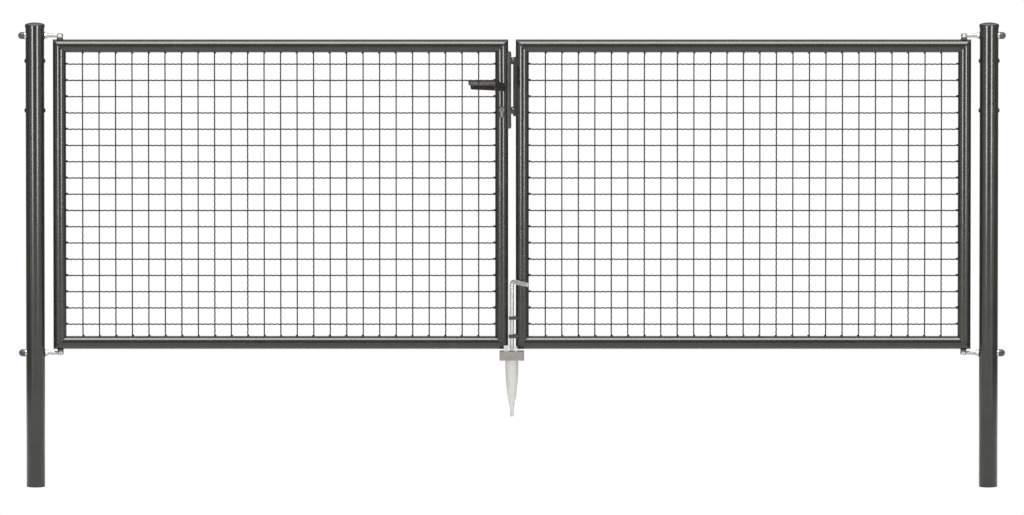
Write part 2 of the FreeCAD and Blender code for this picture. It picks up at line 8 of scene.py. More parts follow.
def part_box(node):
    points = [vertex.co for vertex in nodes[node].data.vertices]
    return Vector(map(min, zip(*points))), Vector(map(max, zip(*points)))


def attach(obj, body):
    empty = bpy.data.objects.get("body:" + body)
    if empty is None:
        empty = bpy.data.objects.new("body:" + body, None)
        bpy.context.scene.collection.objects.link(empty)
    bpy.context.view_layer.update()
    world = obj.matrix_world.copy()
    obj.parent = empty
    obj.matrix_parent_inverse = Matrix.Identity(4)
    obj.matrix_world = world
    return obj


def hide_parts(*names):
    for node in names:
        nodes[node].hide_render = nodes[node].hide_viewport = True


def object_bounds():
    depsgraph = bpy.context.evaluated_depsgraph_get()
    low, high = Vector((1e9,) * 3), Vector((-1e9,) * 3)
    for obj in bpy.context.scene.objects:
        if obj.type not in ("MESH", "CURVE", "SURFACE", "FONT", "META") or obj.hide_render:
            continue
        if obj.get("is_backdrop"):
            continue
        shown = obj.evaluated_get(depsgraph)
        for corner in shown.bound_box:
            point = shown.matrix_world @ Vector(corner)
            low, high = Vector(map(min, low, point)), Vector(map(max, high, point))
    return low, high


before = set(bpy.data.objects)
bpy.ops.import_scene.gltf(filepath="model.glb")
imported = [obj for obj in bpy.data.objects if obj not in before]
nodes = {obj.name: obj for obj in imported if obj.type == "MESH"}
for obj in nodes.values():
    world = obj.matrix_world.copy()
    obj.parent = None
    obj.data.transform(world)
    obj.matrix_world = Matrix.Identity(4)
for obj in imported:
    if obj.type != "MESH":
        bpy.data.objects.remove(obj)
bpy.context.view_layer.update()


# Posts
#
# Round steel tube, drilled, then coated with a grey-olive polyester powder that flows out
# glossy in the oven. The coat keeps a faint orange peel and drifts a little in tone.

def linear(code):
    """Linear colour, with alpha, of an sRGB hex code."""
    shares = [int(code[i:i + 2], 16) / 255 for i in (1, 3, 5)]
    return [share / 12.92 if share <= 0.04045 else ((share + 0.055) / 1.055) ** 2.4
            for share in shares] + [1.0]


def add(tree, kind, inputs=None, **settings):
    """Adds one node. An input, by name or number, takes a value, a socket or a whole node.

    A whole node stands for its first output.
    """
    node = tree.nodes.new(kind)
    for key, value in settings.items():
        setattr(node, key, value)
    for key, value in (inputs or {}).items():
        if isinstance(value, bpy.types.Node):
            value = value.outputs[0]
        if isinstance(value, bpy.types.NodeSocket):
            tree.links.new(value, node.inputs[key])
        else:
            node.inputs[key].default_value = value
    return node


def plain_material(name, fixed):
    """A new material with one Principled shader, whose fixed sockets are set."""
    made = bpy.data.materials.new(name)
    made.use_nodes = True
    made.node_tree.nodes.clear()
    shader = add(made.node_tree, "ShaderNodeBsdfPrincipled", fixed)
    add(made.node_tree, "ShaderNodeOutputMaterial", {"Surface": shader.outputs["BSDF"]})
    return made, made.node_tree, shader


def grain(tree, size_mm, detail, low=0.0, high=1.0):
    """A noise whose lumps are about size_mm across, spread between low and high."""
    place = add(tree, "ShaderNodeTexCoord").outputs["Object"]
    noise = add(tree, "ShaderNodeTexNoise", {
        "Vector": place, "Scale": 1000 / size_mm, "Detail": detail})
    spread = add(tree, "ShaderNodeMapRange", {
        "Value": noise.outputs["Fac"], "From Min": 0.3, "From Max": 0.7,
        "To Min": low, "To Max": high})
    return spread.outputs["Result"]


def surface(name, fixed, dark, light, tone_mm, roughness, rough_mm, bump_mm, bump_depth_mm,
            bump=0.4):
    """A material whose tone drifts between two hex colours, unevenly rough, with a fine relief.

    tone_mm, rough_mm and bump_mm are the sizes of the lumps in each.
    """
    made, tree, shader = plain_material(name, fixed)
    tone = add(tree, "ShaderNodeMix", {
        "Factor": grain(tree, tone_mm, 3.0), "A": linear(dark), "B": linear(light)},
        data_type="RGBA")
    tree.links.new(tone.outputs["Result"], shader.inputs["Base Color"])
    tree.links.new(grain(tree, rough_mm, 3.0, *roughness), shader.inputs["Roughness"])
    relief = add(tree, "ShaderNodeBump", {
        "Height": grain(tree, bump_mm, 2.0), "Strength": bump, "Distance": bump_depth_mm / 1000})
    for socket in ("Normal", "Coat Normal"):
        tree.links.new(relief.outputs["Normal"], shader.inputs[socket])
    return made


def wear(material, *names):
    """Gives CAD nodes a material of this script."""
    for name in names:
        mesh = nodes[name].data
        if not mesh.materials:
            mesh.materials.append(material)
        nodes[name].material_slots[0].material = material


# the peel is drawn a little coarser than the real one of about 2 mm, to show
powder_coat = surface(
    "polyester_powder_coat",
    {"IOR": 1.5, "Specular IOR Level": 0.05, "Coat Weight": 1.0, "Coat Roughness": 0.13,
     "Coat IOR": 1.5},
    "#282923", "#2f3029", tone_mm=45.0, roughness=(0.28, 0.38), rough_mm=15.0,
    bump_mm=3.2, bump_depth_mm=0.05, bump=0.2)
wear(powder_coat, "left_post", "right_post")


# Post caps and plugs
#
# The caps are pressed from sheet, pushed over the tube and coated with it. The plugs in the
# spare cross holes are injection-moulded polyamide, satin black with a fine tool texture.

wear(powder_coat, "left_post_cap", "right_post_cap")

# this black also paints shade: the rim round the lock cylinder and the sheets in its keyways
black_polyamide_and_shade = surface(
    "black_polyamide_and_shade", {"IOR": 1.53},
    "#1a1a19", "#242422", tone_mm=9.0, roughness=(0.34, 0.5), rough_mm=2.0,
    bump_mm=0.8, bump_depth_mm=0.03)
wear(black_polyamide_and_shade, "left_post_plugs", "right_post_plugs")


# Hinges
#
# Forged eye bolts with a rolled thread, hexagon nuts, washers and pins, all zinc plated: pale
# metal with a milky haze. Domed caps, saddles and conical spacers are dark polyamide.

zinc = surface(
    "bright_zinc_plate", {"Metallic": 0.7},
    "#b0b0ac", "#cdcdc9", tone_mm=6.0, roughness=(0.28, 0.44), rough_mm=1.5,
    bump_mm=1.0, bump_depth_mm=0.02)

dome_polyamide = surface(
    "dark_grey_polyamide", {"IOR": 1.53},
    "#454346", "#514f52", tone_mm=9.0, roughness=(0.38, 0.5), rough_mm=2.0,
    bump_mm=0.8, bump_depth_mm=0.03)


def baked(name, tree, values, points=()):
    """Runs a Geometry Nodes tree on loose points and keeps the result as a plain piece."""
    mesh = bpy.data.meshes.new(name)
    mesh.from_pydata(list(points), [], [])
    piece = bpy.data.objects.new(name, mesh)
    bpy.context.scene.collection.objects.link(piece)
    modifier = piece.modifiers.new("nodes", "NODES")
    modifier.node_group = tree
    for item in tree.interface.items_tree:
        if item.in_out == "INPUT" and item.name in values:
            modifier[item.identifier] = values[item.name]
    graph = bpy.context.evaluated_depsgraph_get()
    result = bpy.data.meshes.new_from_object(piece.evaluated_get(graph), depsgraph=graph)
    piece.modifiers.clear()
    piece.data = result
    result.name = name
    return piece


def tree_with(name, sizes, counts, places=()):
    """An empty Geometry Nodes tree with a point input, other named inputs and a material."""
    tree = bpy.data.node_groups.new(name, "GeometryNodeTree")
    tree.interface.new_socket("Points", in_out="INPUT", socket_type="NodeSocketGeometry")
    for labels, kind in ((sizes, "Float"), (counts, "Int"), (places, "Vector")):
        for label in labels:
            tree.interface.new_socket(label, in_out="INPUT", socket_type=f"NodeSocket{kind}")
    tree.interface.new_socket("Finish", in_out="INPUT", socket_type="NodeSocketMaterial")
    tree.interface.new_socket("Geometry", in_out="OUTPUT", socket_type="NodeSocketGeometry")
    return tree, tree.nodes.new("NodeGroupInput").outputs


def end_tree(tree, given, geometry):
    """Realizes, smooths and dresses what a tree has made."""
    real = add(tree, "GeometryNodeRealizeInstances", {"Geometry": geometry})
    smooth = add(tree, "GeometryNodeSetShadeSmooth", {"Geometry": real})
    dressed = add(tree, "GeometryNodeSetMaterial", {
        "Geometry": smooth, "Material": given["Finish"]})
    add(tree, "NodeGroupOutput", {0: dressed})


rod_radius = 0.006
thread_pitch = 0.00175
thread_ridge = 0.00055
thread_sunk = 0.35            # share of the ridge that lies inside the rod
thread_turns = 10

thread_nodes, given = tree_with("rod_thread", ("Radius", "Pitch", "Ridge"), ("Turns",))
length = add(thread_nodes, "ShaderNodeMath", {0: given["Pitch"], 1: given["Turns"]},
             operation="MULTIPLY")
helix = add(thread_nodes, "GeometryNodeCurveSpiral", {
    "Resolution": 28, "Rotations": given["Turns"], "Height": length,
    "Start Radius": given["Radius"], "End Radius": given["Radius"]})
ridge = add(thread_nodes, "GeometryNodeCurvePrimitiveCircle", {
    "Resolution": 4, "Radius": given["Ridge"]})
wound = add(thread_nodes, "GeometryNodeCurveToMesh", {
    "Curve": helix, "Profile Curve": ridge, "Fill Caps": True})
placed = add(thread_nodes, "GeometryNodeInstanceOnPoints", {
    "Points": given["Points"], "Instance": wound, "Rotation": (0, math.pi / 2, 0)})
end_tree(thread_nodes, given, placed)

thread_length = thread_pitch * thread_turns
thread_starts = []
for side in ("left", "right"):
    nut_low, nut_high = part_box(f"{side}_hinge_nuts")
    start = nut_high.x if side == "left" else nut_low.x - thread_length
    for level in ("upper", "lower"):
        low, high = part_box(f"{side}_{level}_eye_bolt")
        thread_starts.append((start, 0, (low.z + high.z) / 2))
threads = baked("rod_threads", thread_nodes, {
    "Radius": rod_radius - thread_ridge * thread_sunk, "Pitch": thread_pitch, "Ridge": thread_ridge,
    "Turns": thread_turns, "Finish": zinc}, thread_starts)
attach(threads, "posts")

for side in ("left", "right"):
    wear(zinc, f"{side}_upper_eye_bolt", f"{side}_lower_eye_bolt", f"{side}_hinge_nuts",
         f"{side}_hinge_washers", f"{side}_hinge_pins")
    wear(black_polyamide_and_shade, f"{side}_hinge_saddles")
    wear(dome_polyamide, f"{side}_dome_nuts", f"{side}_hinge_spacers")


# Leaf frames
#
# Round tube, mitred at the corners and welded all round, then coated. The weld is dressed
# but still stands as a low rippled bead along each mitre.

for side, inner_stile in (("left", "lock_stile"), ("right", "keeper_stile")):
    wear(powder_coat, f"{side}_hinge_stile", f"{side}_{inner_stile}", f"{side}_top_rail",
         f"{side}_bottom_rail")

bead_radius = 0.003
bead_proud = 0.0018           # at the front and back of the tube, nothing at its sides
bead_swell = 0.06             # share of the radius that comes and goes with the ripple
ripple = 0.003
points_per_ripple = 6
mitre_stretch = 1.2           # the mitre's oval is this much longer than the tube's round


def bead(path, radius):
    """A closed weld bead along a path of points, thicker and thinner by the ripple."""
    curve = bpy.data.curves.new("bead", "CURVE")
    curve.dimensions = "3D"
    curve.bevel_depth = radius
    curve.bevel_resolution = 2
    spline = curve.splines.new("POLY")
    spline.points.add(len(path) - 1)
    spline.use_cyclic_u = True
    for number, (point, place) in enumerate(zip(spline.points, path)):
        point.co = (*place, 1.0)
        point.radius = 1 + bead_swell * math.cos(2 * math.pi * number / points_per_ripple)
    holder = bpy.data.objects.new("bead", curve)
    bpy.context.scene.collection.objects.link(holder)
    graph = bpy.context.evaluated_depsgraph_get()
    mesh = bpy.data.meshes.new_from_object(holder.evaluated_get(graph), depsgraph=graph)
    bpy.data.objects.remove(holder)
    bpy.data.curves.remove(curve)
    return mesh


def joined(name, meshes, material, body, crease=40):
    form = bmesh.new()
    for mesh in meshes:
        form.from_mesh(mesh)
    made = bpy.data.meshes.new(name)
    form.to_mesh(made)
    form.free()
    made.materials.clear()
    made.materials.append(material)
    for face in made.polygons:
        face.use_smooth = True
        face.material_index = 0
    made.set_sharp_from_angle(angle=math.radians(crease))
    piece = bpy.data.objects.new(name, made)
    bpy.context.scene.collection.objects.link(piece)
    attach(piece, body)
    return piece


for side, at_left, at_right in (("left", "left_hinge_stile", "left_lock_stile"),
                                ("right", "right_keeper_stile", "right_hinge_stile")):
    welds = []
    for stile, outward in ((at_left, -1), (at_right, 1)):
        low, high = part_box(stile)
        tube = (high.x - low.x) / 2
        ring = tube - bead_radius
        middle_x = (low.x + high.x) / 2
        count = points_per_ripple * round(2 * math.pi * tube * mitre_stretch / ripple)
        for z, upward in ((high.z - tube, 1), (low.z + tube, -1)):
            path = []
            for number in range(count):
                angle = 2 * math.pi * number / count
                radius = ring + bead_proud * math.sin(angle) ** 2
                across = radius * math.cos(angle)
                path.append((middle_x + across, radius * math.sin(angle),
                             z + outward * upward * across))
            welds.append(bead(path, bead_radius))
    joined(f"{side}_mitre_welds", welds, powder_coat, f"{side}_leaf", crease=180)


# Crimped wire mesh
#
# Round 4 mm wire, crimped into short waves, welded where uprights and level wires cross and
# tacked to the frame with a blob at each end, then coated with it. Every second upright has
# its crimp edge-on to the viewer.

wire = 0.0043                 # with its coat
layer = wire * 0.46           # uprights stand this far in front of the middle, level wires behind
wire_sides = 8
crimp = 0.0177                # length of one wave
crimp_depth = 0.00055
crimp_uneven = 0.4            # spread of the depth between wires
crimp_shift = 2.4             # spread of the phase between wires, in radians
seen_least = 0.15             # share of an upright's crimp that runs sideways
seen_more = 0.45              # what every second upright adds to it
upright_outwards, level_outwards = 0.35, 0.3   # share of the crimp that runs out of the sheet
steps_per_crimp = 6
cross_weld = 0.0056           # across the weld at a crossing
end_weld = 0.0095             # across the blob at a wire's end
weld_least, weld_uneven = 0.82, 0.35           # smallest share of its size, and the spread
square = 0.053                # wanted pitch of the uprights, which then share the leaf's width
level_pitch = 0.0525

mesh_nodes, given = tree_with(
    "crimped_mesh",
    ("Wire radius", "Layer", "Crimp", "Crimp depth", "Upright pitch", "Level pitch",
     "Sheet width", "Sheet height"),
    ("Uprights", "Levels", "First number"),
    ("Foot", "Head", "Left end", "Right end", "Sheet middle", "Stile weld", "Top weld",
     "Bottom weld"))


def wires(start, end, pitch, count, first_number, upright):
    """One family of parallel wires: uprights in front, or level wires behind them."""
    sideways, running = ("X", "Z") if upright else ("Z", "X")
    line = add(mesh_nodes, "GeometryNodeCurvePrimitiveLine", {"Start": start, "End": end})
    length = add(mesh_nodes, "GeometryNodeCurveLength", {"Curve": line})
    waves = add(mesh_nodes, "ShaderNodeMath", {0: length, 1: given["Crimp"]}, operation="DIVIDE")
    steps = add(mesh_nodes, "ShaderNodeMath", {0: waves, 1: steps_per_crimp}, operation="MULTIPLY")
    fine = add(mesh_nodes, "GeometryNodeResampleCurve", {"Curve": line, "Count": steps})
    apart = add(mesh_nodes, "ShaderNodeCombineXYZ", {sideways: pitch})
    row = add(mesh_nodes, "GeometryNodeMeshLine", {"Count": count, "Offset": apart})
    copies = add(mesh_nodes, "GeometryNodeInstanceOnPoints", {"Points": row, "Instance": fine})
    straight = add(mesh_nodes, "GeometryNodeRealizeInstances", {"Geometry": copies})

    # each wire's own number gives it its own depth and phase
    spot = add(mesh_nodes, "GeometryNodeInputPosition")
    away = add(mesh_nodes, "ShaderNodeVectorMath", {0: spot, 1: start}, operation="SUBTRACT")
    away = add(mesh_nodes, "ShaderNodeSeparateXYZ", {"Vector": away}).outputs[sideways]
    number = add(mesh_nodes, "ShaderNodeMath", {0: away, 1: pitch}, operation="DIVIDE")
    number = add(mesh_nodes, "ShaderNodeMath", {0: number}, operation="ROUND")
    number = add(mesh_nodes, "ShaderNodeMath", {0: number, 1: first_number}, operation="ADD")
    luck = add(mesh_nodes, "FunctionNodeRandomValue", {
        "ID": number, "Seed": 7 if upright else 19}).outputs[1]
    depth = add(mesh_nodes, "ShaderNodeMath", {0: luck, 1: crimp_uneven, 2: 1 - crimp_uneven / 2},
                operation="MULTIPLY_ADD")
    depth = add(mesh_nodes, "ShaderNodeMath", {0: depth, 1: given["Crimp depth"]},
                operation="MULTIPLY")
    shift = add(mesh_nodes, "ShaderNodeMath", {0: luck, 1: crimp_shift}, operation="MULTIPLY")
    place = add(mesh_nodes, "ShaderNodeSeparateXYZ", {"Vector": spot}).outputs[running]
    waves = add(mesh_nodes, "ShaderNodeMath", {0: place, 1: given["Crimp"]}, operation="DIVIDE")
    phase = add(mesh_nodes, "ShaderNodeMath", {0: waves, 1: 2 * math.pi, 2: shift},
                operation="MULTIPLY_ADD")
    swing = add(mesh_nodes, "ShaderNodeMath", {0: phase}, operation="COSINE")
    wave = add(mesh_nodes, "ShaderNodeMath", {0: swing, 1: depth}, operation="MULTIPLY")
    if upright:
        odd = add(mesh_nodes, "ShaderNodeMath", {0: number, 1: 1.0}, operation="PINGPONG")
        seen = add(mesh_nodes, "ShaderNodeMath", {0: odd, 1: seen_more, 2: seen_least},
                   operation="MULTIPLY_ADD")
        across = add(mesh_nodes, "ShaderNodeMath", {0: wave, 1: seen}, operation="MULTIPLY")
    else:
        across = wave
    outwards = add(mesh_nodes, "ShaderNodeMath", {
        0: wave, 1: upright_outwards if upright else level_outwards}, operation="MULTIPLY")
    outwards = add(mesh_nodes, "ShaderNodeMath", {0: outwards, 1: given["Layer"]},
                   operation="SUBTRACT" if upright else "ADD")
    move = add(mesh_nodes, "ShaderNodeCombineXYZ", {sideways: across, "Y": outwards})
    bent = add(mesh_nodes, "GeometryNodeSetPosition", {"Geometry": straight, "Offset": move})
    ring = add(mesh_nodes, "GeometryNodeCurvePrimitiveCircle", {
        "Resolution": wire_sides, "Radius": given["Wire radius"]})
    return add(mesh_nodes, "GeometryNodeCurveToMesh", {
        "Curve": bent, "Profile Curve": ring, "Fill Caps": True})


def blobs(points, size, seed):
    """Weld beads on points, each a little different in size."""
    ball = add(mesh_nodes, "GeometryNodeMeshUVSphere", {"Segments": 8, "Rings": 5, "Radius": 0.5})
    index = add(mesh_nodes, "GeometryNodeInputIndex")
    luck = add(mesh_nodes, "FunctionNodeRandomValue", {"ID": index, "Seed": seed}).outputs[1]
    swell = add(mesh_nodes, "ShaderNodeMath", {0: luck, 1: weld_uneven, 2: weld_least},
                operation="MULTIPLY_ADD")
    grown = add(mesh_nodes, "ShaderNodeVectorMath", {0: size, "Scale": swell}, operation="SCALE")
    return add(mesh_nodes, "GeometryNodeInstanceOnPoints", {
        "Points": points, "Instance": ball, "Scale": grown})


uprights = wires(given["Foot"], given["Head"], given["Upright pitch"], given["Uprights"],
                 given["First number"], True)
levels = wires(given["Left end"], given["Right end"], given["Level pitch"], given["Levels"],
               0.0, False)
lattice = add(mesh_nodes, "GeometryNodeMeshGrid", {
    "Size X": given["Sheet width"], "Size Y": given["Sheet height"],
    "Vertices X": given["Uprights"], "Vertices Y": given["Levels"]})
upright_lattice = add(mesh_nodes, "GeometryNodeTransform", {
    "Geometry": lattice, "Translation": given["Sheet middle"], "Rotation": (math.pi / 2, 0, 0)})
pieces = [uprights, levels,
          blobs(upright_lattice, (cross_weld, cross_weld * 0.9, cross_weld), 3)]
for start, across, pitch, count, size, seed in (
        ("Stile weld", "Z", "Level pitch", "Levels", (1.0, 0.8, 0.85), 5),
        ("Top weld", "X", "Upright pitch", "Uprights", (0.85, 0.8, 0.7), 11),
        ("Bottom weld", "X", "Upright pitch", "Uprights", (0.85, 0.8, 0.7), 11)):
    apart = add(mesh_nodes, "ShaderNodeCombineXYZ", {across: given[pitch]})
    ends = add(mesh_nodes, "GeometryNodeMeshLine", {
        "Count": given[count], "Start Location": given[start], "Offset": apart})
    pieces.append(blobs(ends, [end_weld * share for share in size], seed))
together = add(mesh_nodes, "GeometryNodeJoinGeometry")
for made in pieces:
    mesh_nodes.links.new(made.outputs[0], together.inputs[0])
end_tree(mesh_nodes, given, together)

coated_wire = surface(
    "powder_coated_wire",
    {"IOR": 1.5, "Specular IOR Level": 0.3, "Coat Weight": 0.15, "Coat Roughness": 0.25,
     "Coat IOR": 1.5},
    "#262722", "#31322c", tone_mm=22.0, roughness=(0.42, 0.55), rough_mm=8.0,
    bump_mm=3.0, bump_depth_mm=0.08)

for side in ("left", "right"):
    boxes = [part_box(f"{side}_mesh_{half}") for half in ("outer", "inner")]
    whole_low = min(low.x for low, high in boxes)
    whole_high = max(high.x for low, high in boxes)
    columns = round((whole_high - whole_low) / square)
    upright_pitch = (whole_high - whole_low) / columns
    for half, (low, high) in zip(("outer", "inner"), boxes):
        # the uprights are numbered over the whole leaf; there is none along a stile
        first_number = max(1, math.ceil((low.x - whole_low) / upright_pitch - 0.01))
        last_number = min(columns - 1, math.floor((high.x - whole_low) / upright_pitch + 0.01))
        upright_count = last_number - first_number + 1
        first_upright = whole_low + upright_pitch * first_number
        level_count = int((high.z - low.z) / level_pitch)
        sheet_width = upright_pitch * (upright_count - 1)
        sheet_height = level_pitch * (level_count - 1)
        first_level = (low.z + high.z - sheet_height) / 2
        leftmost = low.x - whole_low < upright_pitch / 2
        stile, inwards = (low.x, 1) if leftmost else (high.x, -1)
        end_x = first_upright + inwards * end_weld * 0.15
        piece = baked(f"{side}_{half}_wires", mesh_nodes, {
            "Wire radius": wire / 2, "Layer": layer, "Crimp": crimp, "Crimp depth": crimp_depth,
            "Foot": (first_upright, 0.0, low.z), "Head": (first_upright, 0.0, high.z),
            "Left end": (low.x, 0.0, first_level), "Right end": (high.x, 0.0, first_level),
            "Upright pitch": upright_pitch, "Uprights": upright_count,
            "Level pitch": level_pitch, "Levels": level_count, "First number": first_number,
            "Sheet width": sheet_width, "Sheet height": sheet_height,
            "Sheet middle": (first_upright + sheet_width / 2, 0.0, first_level + sheet_height / 2),
            "Stile weld": (stile + inwards * end_weld * 0.2, end_weld * 0.4,
                           first_level + end_weld * 0.12),
            "Top weld": (end_x, end_weld * 0.1, high.z - end_weld * 0.1),
            "Bottom weld": (end_x, end_weld * 0.1, low.z + end_weld * 0.1),
            "Finish": coated_wire})
        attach(piece, f"{side}_leaf")
        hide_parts(f"{side}_mesh_{half}")


# Lock
#
# The forend is a lacquered steel strip held by two countersunk screws. The profile cylinder is
# satin nickel on brass, with a round plug in each face. The black rim round it is painted shade
# for the shadowed gap between cylinder and stile, and the keyway on each plug is a flat black
# sheet of painted shade.

forend_lacquer = surface(
    "grey_lacquer", {"IOR": 1.5, "Coat Weight": 0.5, "Coat Roughness": 0.2},
    "#464741", "#52534c", tone_mm=30.0, roughness=(0.32, 0.44), rough_mm=8.0,
    bump_mm=2.0, bump_depth_mm=0.03)
satin_nickel = surface(
    "satin_nickel", {"Metallic": 0.8},
    "#8b8984", "#a3a19b", tone_mm=5.0, roughness=(0.26, 0.38), rough_mm=1.2,
    bump_mm=0.6, bump_depth_mm=0.01)
wear(forend_lacquer, "lock_forend")
wear(satin_nickel, "lock_cylinder")
wear(zinc, "lock_case", "lock_bolts", "lever_spindle")


def as_mesh(form, name):
    """Ends a form, its faces outwards, as a mesh."""
    bmesh.ops.recalc_face_normals(form, faces=form.faces)
    mesh = bpy.data.meshes.new(name)
    form.to_mesh(mesh)
    form.free()
    return mesh


def turned(profile, place, axis, steps=40):
    """A lathe form: (radius, height) points spun about an axis through place."""
    form = bmesh.new()
    rows = []
    for radius, rise in profile:
        if radius < 1e-6:
            rows.append([form.verts.new((0, 0, rise))])
        else:
            rows.append([form.verts.new((radius * math.cos(2 * math.pi * i / steps),
                                         radius * math.sin(2 * math.pi * i / steps), rise))
                         for i in range(steps)])
    for lower, upper in zip(rows, rows[1:]):
        for i in range(steps):
            j = (i + 1) % steps
            corners = [lower[i % len(lower)], lower[j % len(lower)],
                       upper[j % len(upper)], upper[i % len(upper)]]
            form.faces.new(list(dict.fromkeys(corners)))
    turn = Vector((0, 0, 1)).rotation_difference(Vector(axis)).to_matrix().to_4x4()
    form.transform(Matrix.Translation(place) @ turn)
    return as_mesh(form, "turned")


def slab(outline, y0, y1, edge=0.0):
    """A plate of an (x, z) outline between two y planes, with its rims bevelled."""
    form = bmesh.new()
    face = form.faces.new([form.verts.new((x, y0, z)) for x, z in outline])
    grown = bmesh.ops.extrude_face_region(form, geom=[face])
    moved = [item for item in grown["geom"] if isinstance(item, bmesh.types.BMVert)]
    bmesh.ops.translate(form, verts=moved, vec=(0, y1 - y0, 0))
    bmesh.ops.recalc_face_normals(form, faces=form.faces)
    if edge:
        rims = [line for line in form.edges
                if abs(line.verts[0].co.y - line.verts[1].co.y) < 1e-7]
        bmesh.ops.bevel(form, geom=rims, offset=edge, segments=4, profile=0.5, affect="EDGES")
    return as_mesh(form, "slab")


def arc(centre_x, centre_z, radius, start, end, steps=12):
    """Points on an arc in the (x, z) plane, from one angle in degrees to another."""
    turns = [math.radians(start + (end - start) * i / steps) for i in range(steps + 1)]
    return [(centre_x + radius * math.cos(turn), centre_z + radius * math.sin(turn))
            for turn in turns]


def rectangle(x0, x1, z0, z1):
    """The outline of a plate between two x and two z planes."""
    return [(x0, z0), (x1, z0), (x1, z1), (x0, z1)]


small_edge = 0.0006           # rounding of the small plates
plate_thickness = 0.0021
plate_inset = 0.001           # the plate is this much smaller than the forend all round
screw_inset = 0.012
screw_radius = 0.0042

low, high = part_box("lock_forend")
plate_face = high.x + plate_thickness
plate = rectangle(high.x, plate_face, low.z + plate_inset, high.z - plate_inset)
joined("forend_plate", [slab(plate, low.y + plate_inset, high.y - plate_inset, small_edge)],
       forend_lacquer, "left_leaf")
head = [(0.0, -0.002), (screw_radius * 0.6, -0.002), (screw_radius, 0.0),
        (screw_radius * 0.96, 0.0004), (screw_radius * 0.5, 0.0006),
        (screw_radius * 0.42, 0.0003), (0.0, -0.0004)]
screws = [turned(head, Vector((plate_face, 0, z)), (1, 0, 0), 24)
          for z in (low.z + screw_inset, high.z - screw_inset)]
joined("forend_screws", screws, zinc, "left_leaf")

tail_radius = 0.005
shade_rim_width = 0.0026
shade_rim_root = 0.017           # where the painted shade rims leave the stile, from the leaf's middle
shade_rim_back = 0.0028          # from the cylinder's face back to the rim's
plug_radius = 0.0062
plug_proud = 0.0006
plug_chamfer = 0.0003
keyway_half = 0.0011

low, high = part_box("lock_cylinder")
axis_x = (low.x + high.x) / 2
head_radius = (high.x - low.x) / 2
head_z = high.z - head_radius
tail_z = low.z + tail_radius


def cylinder_outline(grow):
    """The round head over a narrow round-ended tail, grown by a margin."""
    around, below = head_radius + grow, tail_radius + grow
    meet = math.degrees(math.asin(below / around))
    return (arc(axis_x, head_z, around, -90 + meet, 270 - meet, 30)
            + arc(axis_x, tail_z, below, 180, 360))


# painted shade: black rims stand for the shadowed gap round the cylinder, and flat black sheets on
# the plugs for the shade in the keyways
shade_rims, plugs, keyway_shades = [], [], []
for facing in (-1, 1):
    face_y = low.y if facing < 0 else high.y
    shade_rims.append(slab(cylinder_outline(shade_rim_width), facing * shade_rim_root,
                        face_y - facing * shade_rim_back, small_edge))
    plug = [(0.0, -0.001), (plug_radius, -0.001), (plug_radius, plug_proud - plug_chamfer),
            (plug_radius - plug_chamfer, plug_proud), (0.0, plug_proud)]
    plugs.append(turned(plug, Vector((axis_x, face_y, head_z)), (0, facing, 0)))
    foot_z, top_z = head_z - plug_radius * 0.8, head_z + plug_radius * 0.7
    slot = [(axis_x - keyway_half, foot_z), (axis_x + keyway_half, foot_z),
            (axis_x + keyway_half * 0.5, head_z),
            (axis_x + keyway_half, top_z), (axis_x - keyway_half, top_z)]
    keyway_shades.append(slab(slot, face_y + facing * 0.0001, face_y + facing * (plug_proud + 0.00015)))
joined("cylinder_shade_rims", shade_rims, black_polyamide_and_shade, "left_leaf")
joined("cylinder_plugs", plugs, satin_nickel, "left_leaf")
joined("keyway_shades", keyway_shades, black_polyamide_and_shade, "left_leaf")


# Levers
#
# Cast handles in a satin brown-black lacquer, softly rounded by the casting, each ramping up
# to a hub on a round neck. The inner face stays rough grey. A collar covers the stile's hole.

lever_lacquer = surface(
    "brown_black_lacquer", {"IOR": 1.5, "Specular IOR Level": 0.2},
    "#1e1716", "#28211f", tone_mm=12.0, roughness=(0.3, 0.42), rough_mm=3.0,
    bump_mm=1.6, bump_depth_mm=0.04)
cast_grey = surface(
    "rough_cast_grey", {"IOR": 1.5},
    "#625d5b", "#8d8885", tone_mm=7.0, roughness=(0.4, 0.55), rough_mm=2.0,
    bump_mm=1.6, bump_depth_mm=0.12)

tip_height = 0.015
tip_over, tip_under = 0.003, 0.005             # roundings of the tip's two corners
bar_thickness = 0.012
bar_edge = 0.0032
heel = 0.008                  # rounding of the bar behind the hub
hub_reach = 0.018             # from the spindle to where the ramp begins
hub_proud = 0.0022
hub_edge = 0.0022
hub_over = 0.0003             # how far the hub wraps round the heel
ramp = 0.008
ramp_root, ramp_sunk = 0.004, 0.0006           # below the bar's face: its back and its thin end
ramp_under, ramp_over = 0.0035, 0.0022         # left free below and above it
face_end, face_rim = 0.0035, 0.0025            # left free round the rough inner face
neck_radius = 0.0095
neck_flange = 0.0102
neck_foot = 0.020             # from the leaf's middle
neck_sunk = 0.002             # into the bar
collar_bore = 0.0098
collar_radius = 0.0135
collar_height = 0.0076
collar_foot = 0.0158          # on the stile's flank


def hull(points):
    """The closed form that wraps a handful of points."""
    form = bmesh.new()
    bmesh.ops.convex_hull(form, input=[form.verts.new(point) for point in points])
    inside = [corner for corner in form.verts if not corner.link_faces]
    bmesh.ops.delete(form, geom=inside, context="VERTS")
    return as_mesh(form, "hull")


